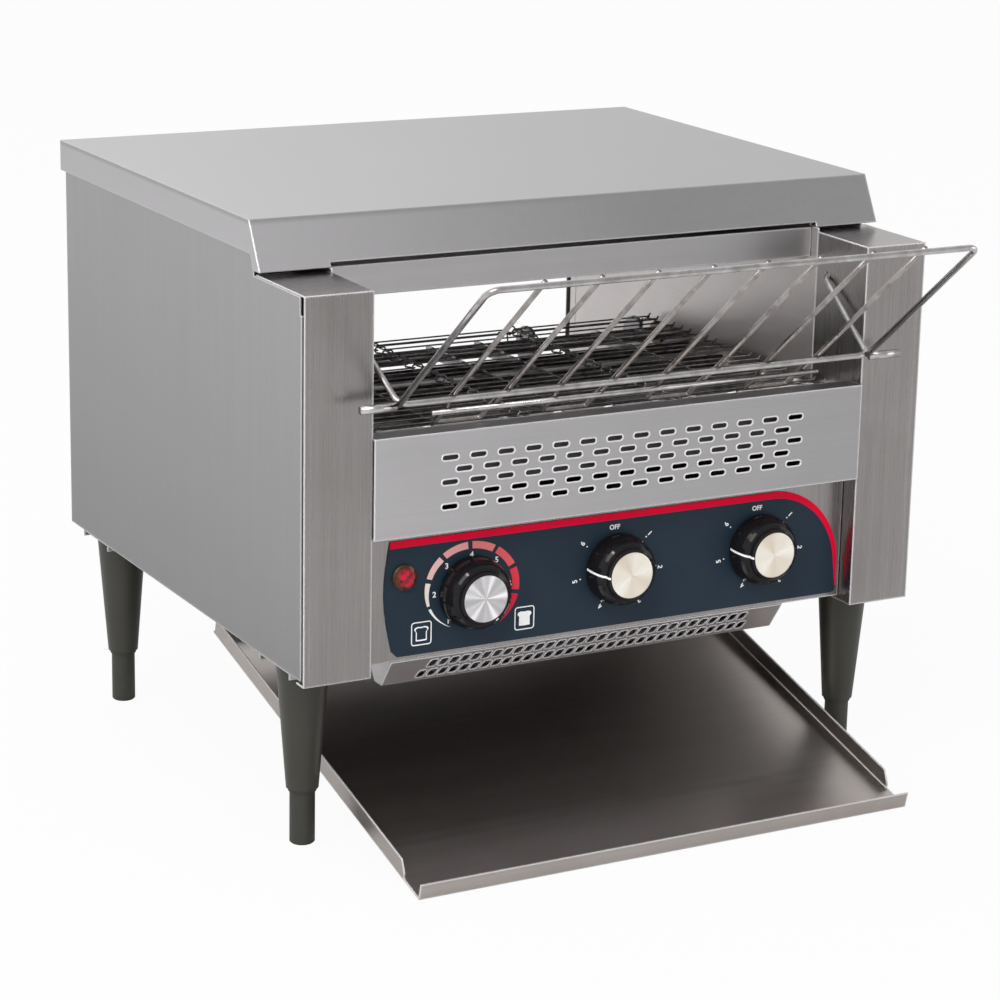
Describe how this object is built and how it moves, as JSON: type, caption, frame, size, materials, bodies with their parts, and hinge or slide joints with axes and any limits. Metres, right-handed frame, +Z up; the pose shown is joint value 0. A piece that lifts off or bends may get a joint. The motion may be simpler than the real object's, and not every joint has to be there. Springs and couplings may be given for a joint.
{
  "type": "conveyor toaster",
  "caption": "Countertop conveyor toaster with a wire belt between two element banks, a tilting loading rack, three rotary controls and a sloping slide-out toast tray.",
  "frame": {"origin": "on the table under the middle of the whole machine, from the rack's front wires to the cover's rear edge", "axes": "+Z up; the controls and the loading rack face -Y; +X is to the right as seen from the front"},
  "size_m": [0.48, 0.5636, 0.42],
  "materials": {
    "cover_steel": "satin brushed",
    "panel_steel": "satin brushed",
    "dull_steel": "dull",
    "bright_wire": "polished wire",
    "belt_wire": "heat tinted wire",
    "zinc": "zinc plated",
    "element": "oxidised sheath",
    "ceramic": "glazed ceramic",
    "bronze": "sintered",
    "motor_grey": "satin",
    "overlay": "printed film",
    "knob_black": "gloss",
    "knob_face": "spun",
    "lamp_red": "translucent lens",
    "switch_body": "moulded",
    "board": "circuit board",
    "leg_grey": "satin",
    "foot_black": "moulded"
  },
  "bodies": {
    "casing": {"top_cover": "cover_steel", "left_side_panel": "panel_steel", "right_side_panel": "panel_steel", "left_front_pillar": "panel_steel", "right_front_pillar": "panel_steel", "left_inner_wall": "dull_steel", "right_inner_wall": "dull_steel", "header_panel": "panel_steel", "vent_panel": "panel_steel", "control_fascia": "panel_steel", "control_overlay": "overlay", "lower_grille": "panel_steel", "base_pan": "dull_steel", "rear_panel": "panel_steel", "drop_chute": "dull_steel", "compartment_shield": "dull_steel", "top_reflector": "dull_steel", "bottom_reflector": "dull_steel", "top_elements": "element", "bottom_elements": "element", "element_bushes": "ceramic", "wire_belt": "belt_wire", "belt_rails": "dull_steel", "shaft_bushes": "bronze", "gearmotor": "motor_grey", "drive_chain": "belt_wire", "lamp_bezel": "zinc", "lamp_lens": "lamp_red", "top_element_switch": "switch_body", "bottom_element_switch": "switch_body", "speed_regulator": "board", "terminal_block": "switch_body", "front_left_leg": "leg_grey", "front_right_leg": "leg_grey", "rear_left_leg": "leg_grey", "rear_right_leg": "leg_grey", "leg_plates": "zinc", "cable_gland": "foot_black"},
    "rack": {"loading_rack": "bright_wire"},
    "tray": {"toast_tray": "panel_steel"},
    "speed_control": {"speed_knob": "knob_black", "speed_knob_face": "knob_face", "speed_spindle": "zinc"},
    "top_control": {"top_element_knob": "knob_black", "top_knob_face": "knob_face", "top_switch_spindle": "zinc"},
    "bottom_control": {"bottom_element_knob": "knob_black", "bottom_knob_face": "knob_face", "bottom_switch_spindle": "zinc"},
    "drive": {"drive_shaft": "zinc", "drive_sprockets": "zinc"},
    "idler": {"idler_shaft": "zinc", "idler_sprockets": "zinc"},
    "motor_output": {"motor_sprocket": "zinc"},
    "foot_fl": {"front_left_foot": "foot_black"},
    "foot_fr": {"front_right_foot": "foot_black"},
    "foot_rl": {"rear_left_foot": "foot_black"},
    "foot_rr": {"rear_right_foot": "foot_black"}
  },
  "joints": [
    {"name": "rack_tilt", "type": "hinge", "parent": "casing", "child": "rack", "pos_m": [0, -0.09073, 0.357], "axis": [-1, 0, 0], "range_deg": [0, 75]},
    {"name": "tray_slide", "type": "slide", "parent": "casing", "child": "tray", "axis": [0, -1, 0], "range_m": [0, 0.3]},
    {"name": "speed_turn", "type": "hinge", "parent": "casing", "child": "speed_control", "pos_m": [-0.108, -0.13873, 0.172], "axis": [0, 1, 0], "range_deg": [-300, 0]},
    {"name": "top_element_turn", "type": "hinge", "parent": "casing", "child": "top_control", "pos_m": [0.004, -0.13873, 0.174], "axis": [0, 1, 0], "range_deg": [-270, 45]},
    {"name": "bottom_element_turn", "type": "hinge", "parent": "casing", "child": "bottom_control", "pos_m": [0.119, -0.13873, 0.174], "axis": [0, 1, 0], "range_deg": [-270, 45]},
    {"name": "belt_drive", "type": "hinge", "parent": "casing", "child": "drive", "pos_m": [0, 0.13527, 0.26817], "axis": [1, 0, 0], "continuous": true, "deforming": ["wire_belt", "drive_chain"]},
    {"name": "idler_spin", "type": "hinge", "parent": "casing", "child": "idler", "pos_m": [0, -0.10473, 0.26817], "axis": [1, 0, 0], "continuous": true, "deforming": ["wire_belt"]},
    {"name": "motor_spin", "type": "hinge", "parent": "casing", "child": "motor_output", "pos_m": [0, 0.01503, 0.19706], "axis": [1, 0, 0], "continuous": true, "deforming": ["drive_chain"]},
    {"name": "front_left_foot_screw", "type": "slide", "parent": "casing", "child": "foot_fl", "axis": [0, 0, -1], "range_m": [0, 0.02]},
    {"name": "front_right_foot_screw", "type": "slide", "parent": "casing", "child": "foot_fr", "axis": [0, 0, -1], "range_m": [0, 0.02]},
    {"name": "rear_left_foot_screw", "type": "slide", "parent": "casing", "child": "foot_rl", "axis": [0, 0, -1], "range_m": [0, 0.02]},
    {"name": "rear_right_foot_screw", "type": "slide", "parent": "casing", "child": "foot_rr", "axis": [0, 0, -1], "range_m": [0, 0.02]}
  ],
  "couplings": [
    {"joint": "idler_spin", "follows": "belt_drive", "ratio": 1},
    {"joint": "motor_spin", "follows": "belt_drive", "ratio": 1}
  ]
}
